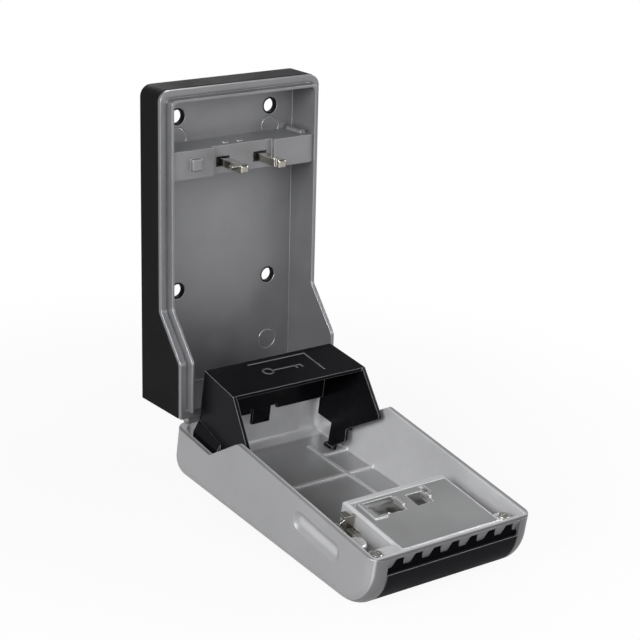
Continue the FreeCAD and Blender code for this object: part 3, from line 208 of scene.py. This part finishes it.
drawn_out = node(surface_life, "Mapping", {"Scale": (60.0, 900.0, 900.0), "Rotation": (0.4, 0.5, 0.7)})
hairlines = node(surface_life, "TexNoise", {"Scale": 1.0, "Detail": 2.0})
scratch = node(surface_life, "MapRange", {"From Min": 0.62, "From Max": 0.72})
scratch_share = node(surface_life, "Math", operation="MULTIPLY")
wire(surface_life,
     (spot.outputs["Object"], grain.inputs["Vector"]),
     (spot.outputs["Object"], clouds.inputs["Vector"]),
     (spot.outputs["Object"], flecks.inputs["Vector"]),
     (spot.outputs["Object"], drawn_out.inputs["Vector"]),
     (asked.outputs["Grain Scale"], grain.inputs["Scale"]),
     (asked.outputs["Grain Depth"], relief.inputs["Strength"]),
     (asked.outputs["Edge Radius"], rounded.inputs["Radius"]),
     (asked.outputs["Cloud Scale"], clouds.inputs["Scale"]),
     (grain.outputs["Fac"], relief.inputs["Height"]),
     (rounded.outputs["Normal"], relief.inputs["Normal"]),
     (rounded.outputs["Normal"], rounded_by.inputs[0]),
     (flat_face.outputs["Normal"], rounded_by.inputs[1]),
     (rounded_by.outputs["Value"], edge.inputs["Value"]),
     (clouds.outputs["Fac"], cloud.inputs["Value"]),
     (flecks.outputs["Color"], fleck.inputs["Color"]),
     (drawn_out.outputs["Vector"], hairlines.inputs["Vector"]),
     (hairlines.outputs["Fac"], scratch.inputs["Value"]),
     (scratch.outputs["Result"], scratch_share.inputs[0]),
     (asked.outputs["Scratches"], scratch_share.inputs[1]),
     (relief.outputs["Normal"], given.inputs["Normal"]),
     (edge.outputs["Result"], given.inputs["Edge"]),
     (cloud.outputs["Result"], given.inputs["Cloud"]),
     (fleck.outputs["Red"], given.inputs["Fleck"]),
     (scratch_share.outputs["Value"], given.inputs["Scratch"]))


def coat(name, body, edge_wear_and_highlight, metal, rough, gloss, grain_scale, grain_depth, rounding, flake=0.0,
         clouding=0.06, edge_wear_and_highlight_share=0.5, scratches=0.0):
    """A material: body colour with flake and cloudy variation, edges that are part worn and part painted
    highlight, and uneven gloss.
    """
    material = bpy.data.materials.new(name)
    material.use_nodes = True
    tree = material.node_tree
    surface = tree.nodes["Principled BSDF"]
    surface.inputs["Metallic"].default_value = metal
    surface.inputs["Specular IOR Level"].default_value = gloss
    life = node(tree, "Group", node_tree=surface_life)
    for label, value in (("Grain Scale", grain_scale), ("Grain Depth", grain_depth),
                         ("Edge Radius", rounding), ("Scratches", scratches)):
        life.inputs[label].default_value = value
    flaked = node(tree, "MapRange", {"To Min": 1.0 - flake, "To Max": 1.0 + flake})
    clouded = node(tree, "MapRange", {"To Min": 1.0 - clouding, "To Max": 1.0 + clouding})
    tone = node(tree, "Math", operation="MULTIPLY")
    tinted = node(tree, "VectorMath", {0: body}, operation="SCALE")
    # Edges take the edge colour, which is part wear and part painted highlight; scratches add real wear.
    edge_wear_highlight_and_scratch = node(tree, "Math", {1: edge_wear_and_highlight_share}, operation="MULTIPLY_ADD", use_clamp=True)
    body_or_edge_wear_and_highlight = node(tree, "Mix", {"B": (*edge_wear_and_highlight, 1.0)}, data_type="RGBA")
    smoothest, dullest = 0.88 * rough, 1.20 * rough
    uneven = node(tree, "MapRange", {"To Min": smoothest, "To Max": dullest})
    wire(tree,
         (life.outputs["Fleck"], flaked.inputs["Value"]),
         (life.outputs["Cloud"], clouded.inputs["Value"]),
         (flaked.outputs["Result"], tone.inputs[0]),
         (clouded.outputs["Result"], tone.inputs[1]),
         (tone.outputs["Value"], tinted.inputs["Scale"]),
         (tinted.outputs["Vector"], body_or_edge_wear_and_highlight.inputs["A"]),
         (life.outputs["Edge"], edge_wear_highlight_and_scratch.inputs[0]),
         (life.outputs["Scratch"], edge_wear_highlight_and_scratch.inputs[2]),
         (edge_wear_highlight_and_scratch.outputs["Value"], body_or_edge_wear_and_highlight.inputs["Factor"]),
         (body_or_edge_wear_and_highlight.outputs["Result"], surface.inputs["Base Color"]),
         (life.outputs["Cloud"], uneven.inputs["Value"]),
         (uneven.outputs["Result"], surface.inputs["Roughness"]),
         (life.outputs["Normal"], surface.inputs["Normal"]))
    return material


def dress(material, *names):
    """Give a CAD node, or several, their finish."""
    for name in names:
        finishes = frame["nodes"][name].data.materials
        finishes.clear()
        finishes.append(material)


jacket_rubber = coat("jacket_rubber", body=(0.0045, 0.0045, 0.005), edge_wear_and_highlight=(0.03, 0.03, 0.033), metal=0.0,
                     rough=0.60, gloss=0.05, grain_scale=1500, grain_depth=0.6, rounding=0.0007)
dress(jacket_rubber, "wall_jacket")


# Wall unit's casing and strike bar: zinc die castings under a satin mid-grey metallic paint. The rim's
# edges show as fine pale lines, part thin paint and part painted highlight.
casing_paint = coat("casing_paint", body=(0.210, 0.211, 0.220), edge_wear_and_highlight=(0.50, 0.50, 0.52), metal=0.65,
                    rough=0.34, gloss=0.5, grain_scale=2600, grain_depth=0.10, rounding=0.0005, flake=0.04)
dress(casing_paint, "wall_casing", "strike_bar")


# Hooks and reset lever: hardened steel with bright nickel plating. The hooks are pressed into the
# strike bar, the lever is bent from strip, and both have fine scratches from the parts they meet.
# Their near-white edges are part wear and part painted highlight.
nickel_plate = coat("nickel_plate", body=(0.42, 0.405, 0.35), edge_wear_and_highlight=(0.97, 0.96, 0.94), metal=1.0,
                    rough=0.10, gloss=0.5, grain_scale=900, grain_depth=0.08, rounding=0.0006,
                    edge_wear_and_highlight_share=0.9, scratches=0.3)
dress(nickel_plate, "strike_hook_left", "strike_hook_right", "reset_lever")


# Screws, hinge pin, springs, latch plate, comb, cams and shaft: zinc-plated steel, slightly cloudy and a
# little yellow, with brighter edges, part wear and part painted highlight.
zinc_plate = coat("zinc_plate", body=(0.46, 0.45, 0.43), edge_wear_and_highlight=(0.76, 0.75, 0.73), metal=1.0, rough=0.32,
                  gloss=0.5, grain_scale=1500, grain_depth=0.15, rounding=0.0003, flake=0.05,
                  scratches=0.2)
dress(zinc_plate, "strike_screws", "hinge_pin", "lock_screws", "latch_plate", "slider_screw",
      "dial_detent", "latch_spring_left", "latch_spring_right", "dial_shaft", "shaft_clip",
      *["dial_cam_%d" % number for number in range(1, 5)])


# Door shell: a deep zinc casting with fine silver paint, hinged at its lower edge. Painted shade darkens
# the paint on its flanks, its leaning front face, its end and the round corner between them, and on the
# pocket's floor between the ribs. These places are found with the door turned shut.
# The silver paint's pale edges are part wear and part painted highlight.
silver_paint = coat("silver_paint", body=(0.58, 0.582, 0.592), edge_wear_and_highlight=(0.92, 0.92, 0.94), metal=0.50,
                    rough=0.34, gloss=0.5, grain_scale=3200, grain_depth=0.08, rounding=0.0006, flake=0.03)
shaded_door_paint = silver_paint.copy()
shaded_door_paint.name = "silver_paint_with_painted_shade"
painted_shade_tree = shaded_door_paint.node_tree
# Painted shade: how strongly the grey below darkens the round corner and the flanks.
corner_painted_shade = 0.90
side_painted_shade = 0.60
# Painted shade on the pocket's floor between the ribs.
floor_painted_shade = 0.48
painted_shade_grey = (0.10, 0.10, 0.105, 1.0)
face_slope = math.tan(math.radians(4.9))
corner_radius = 0.021
face_wall = 0.0026
skin_full_shade_to = 0.0012
skin_no_shade_from = 0.00216
floor_full_shade_to = face_wall + 0.0003
floor_no_shade_from = face_wall + 0.0008
door_joint = next(joint for joint in frame["joints"] if joint["name"] == "door_hinge")
hinge = Vector(door_joint["pos_m"])
swing_angle = math.radians(door_joint["range_deg"][1])
swing = Matrix.Rotation(swing_angle, 3, "X")
shell_vertices = frame["nodes"]["door_shell"].data.vertices
shut_points = [swing.inverted() @ (vertex.co - hinge) for vertex in shell_vertices]
flank = max(point.x for point in shut_points)
face_plane = min(point.y - face_slope * point.z for point in shut_points)
end_plane = max(point.z for point in shut_points)


def worked_out(operation, *terms):
    """The result of a Math node whose terms are numbers or sockets."""
    step = node(painted_shade_tree, "Math", operation=operation)
    for place, term in enumerate(terms):
        if isinstance(term, float):
            step.inputs[place].default_value = term
        else:
            painted_shade_tree.links.new(term, step.inputs[place])
    return step.outputs["Value"]


def rising(value, start, end, top=1.0):
    """A mask that goes from 0 to its top as the value goes from start to end."""
    ramp = node(painted_shade_tree, "MapRange", {"From Min": start, "From Max": end, "To Max": top})
    painted_shade_tree.links.new(value, ramp.inputs["Value"])
    return ramp.outputs["Result"]


def near_skin(value, skin):
    """A mask for the shell's outer skin, which fades out within the wall below it."""
    return rising(value, skin - skin_no_shade_from, skin - skin_full_shade_to)


spot = node(painted_shade_tree, "TexCoord")
turned_shut = node(painted_shade_tree, "VectorRotate",
                   {"Center": hinge, "Axis": (-1.0, 0.0, 0.0), "Angle": swing_angle})
shut_spot = node(painted_shade_tree, "SeparateXYZ")
wire(painted_shade_tree,
     (spot.outputs["Object"], turned_shut.inputs["Vector"]),
     (turned_shut.outputs["Vector"], shut_spot.inputs["Vector"]))
shut_x, shut_y, shut_z = (shut_spot.outputs[axis] for axis in "XYZ")
lean = worked_out("MULTIPLY", worked_out("SUBTRACT", shut_z, hinge.z), face_slope)
upright_y = worked_out("SUBTRACT", shut_y, lean)
face_core = face_plane + hinge.y + corner_radius
end_core = end_plane + hinge.z - corner_radius
into_face = worked_out("MAXIMUM", worked_out("SUBTRACT", face_core, upright_y), 0.0)
into_end = worked_out("MAXIMUM", worked_out("SUBTRACT", shut_z, end_core), 0.0)
from_core = worked_out("SQRT", worked_out("ADD", worked_out("MULTIPLY", into_face, into_face),
                                          worked_out("MULTIPLY", into_end, into_end)))
from_middle = worked_out("ABSOLUTE", shut_x)
from_face = worked_out("SUBTRACT", upright_y, face_plane + hinge.y)
# Painted shade masks for the face, the end and the round corner, and for the flanks.
corner_shade_mask = worked_out("MULTIPLY", near_skin(from_core, corner_radius), corner_painted_shade)
side_shade_mask = worked_out("MULTIPLY", near_skin(from_middle, flank), side_painted_shade)
# Painted shade mask for the pocket's floor: full on its surface, gone half a millimetre above it.
floor_shade_mask = rising(from_face, floor_no_shade_from, floor_full_shade_to, floor_painted_shade)
painted_shade_share = worked_out("MAXIMUM", worked_out("MAXIMUM", corner_shade_mask, side_shade_mask), floor_shade_mask)
# The grey mixed in here is painted shade on the door's outer skin and on the pocket's floor.
painted_shade_mix = node(painted_shade_tree, "Mix", {"B": painted_shade_grey}, data_type="RGBA")
shade = painted_shade_tree.nodes["Principled BSDF"].inputs["Base Color"]
wire(painted_shade_tree,
     (painted_shade_share, painted_shade_mix.inputs["Factor"]),
     (shade.links[0].from_socket, painted_shade_mix.inputs["A"]),
     (painted_shade_mix.outputs["Result"], shade))
dress(shaded_door_paint, "door_shell")


# Lock housing: a zinc casting in the shell's silver paint, which stands in the end of the door and
# is held by two screwed lugs. It carries the latch plate, the dials' shaft and their comb.
dress(silver_paint, "lock_housing")


# Lock cover: a pressed plate over the lock housing, sprayed a darker satin grey, whose folded edges and
# hook openings are near white, part thin paint and part painted highlight.
cover_paint = coat("cover_paint", body=(0.37, 0.372, 0.378), edge_wear_and_highlight=(0.97, 0.97, 0.98), metal=0.7,
                   rough=0.36, gloss=0.5, grain_scale=3000, grain_depth=0.06, rounding=0.0006,
                   edge_wear_and_highlight_share=0.9, flake=0.02)
dress(cover_paint, "lock_cover")


# Key tray: one black plastic moulding with a satin gloss, open below its hood and held by a peg
# at the end of each leg.
# Its pale edges are part rub and part painted highlight.
tray_plastic = coat("tray_plastic", body=(0.0035, 0.0035, 0.0045), edge_wear_and_highlight=(0.24, 0.24, 0.25), metal=0.0,
                    rough=0.22, gloss=0.05, grain_scale=1800, grain_depth=0.08, rounding=0.0005,
                    edge_wear_and_highlight_share=0.8)
dress(tray_plastic, "key_tray")


# Shutter and thumb slider: dark plastic mouldings with a fine etched grain, grey along their edges, part
# rub and part painted highlight. The shutter swings on the door and covers the dials, and the slider moves
# the latch plate.
shutter_plastic = coat("shutter_plastic", body=(0.007, 0.007, 0.009), edge_wear_and_highlight=(0.26, 0.26, 0.27), metal=0.0,
                       rough=0.50, gloss=0.03, grain_scale=3200, grain_depth=0.5, rounding=0.0006,
                       edge_wear_and_highlight_share=0.8)
dress(shutter_plastic, "shutter", "open_slider")


# Toothed seal: soft black rubber, seated in the door shell along the shutter's upper edge. It is the
# dullest surface here, with hardly any shine.
seal_rubber = coat("seal_rubber", body=(0.002, 0.002, 0.0025), edge_wear_and_highlight=(0.010, 0.010, 0.011), metal=0.0,
                   rough=0.8, gloss=0.02, grain_scale=1500, grain_depth=0.5, rounding=0.0003)
dress(seal_rubber, "shutter_seal")


# Dials: four black plastic wheels, each with ten flats and the figures 0 to 9 printed in white
# around them. The figures stand a hair above the flats and turn with their wheel.
dial_plastic = coat("dial_plastic", body=(0.008, 0.008, 0.0085), edge_wear_and_highlight=(0.07, 0.07, 0.072), metal=0.0,
                    rough=0.33, gloss=0.4, grain_scale=1500, grain_depth=0.2, rounding=0.0004)
figure_white = coat("figure_white", body=(0.80, 0.80, 0.78), edge_wear_and_highlight=(0.60, 0.60, 0.58), metal=0.0,
                    rough=0.5, gloss=0.3, grain_scale=2500, grain_depth=0.3, rounding=0.00005,
                    clouding=0.04)
dial_flats = 10
figure_height = 0.0032
type_size = 1.4 * figure_height
print_thickness = 0.00006
stand_up = Matrix(((1, 0, 0), (0, 0, -1), (0, 1, 0)))
for number in range(1, 5):
    dial = "dial_%d" % number
    dress(dial_plastic, dial)
    dial_low, dial_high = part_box(dial)
    spin = next(joint for joint in frame["joints"] if joint["name"] == "wheel_%d_spin" % number)
    hub = Vector(spin["pos_m"])
    hub.x = (dial_low.x + dial_high.x) / 2
    radius = (dial_high.y - dial_low.y) / 2
    points, faces = [], []
    for figure in range(dial_flats):
        text = bpy.data.curves.new("figure", "FONT")
        text.body = str(figure)
        text.size = type_size
        text.align_x = "CENTER"
        text.align_y = "CENTER"
        text.extrude = print_thickness
        carrier = bpy.data.objects.new("figure", text)
        scene.collection.objects.link(carrier)
        solid_text = carrier.evaluated_get(bpy.context.evaluated_depsgraph_get())
        printed = bpy.data.meshes.new_from_object(solid_text)
        turn = Matrix.Rotation(2 * math.pi * figure / dial_flats, 3, "X")
        first = len(points)
        for vertex in printed.vertices:
            on_flat = stand_up @ vertex.co + Vector((0, -radius, 0))
            points.append(hub + swing @ (turn @ on_flat))
        faces += [[first + corner for corner in polygon.vertices] for polygon in printed.polygons]
        bpy.data.objects.remove(carrier)
    figures_mesh = bpy.data.meshes.new(dial + "_figures")
    figures_mesh.from_pydata(points, [], faces)
    figures_mesh.materials.append(figure_white)
    figures = bpy.data.objects.new(dial + "_figures", figures_mesh)
    scene.collection.objects.link(figures)
    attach(figures, "wheel_%d" % number)
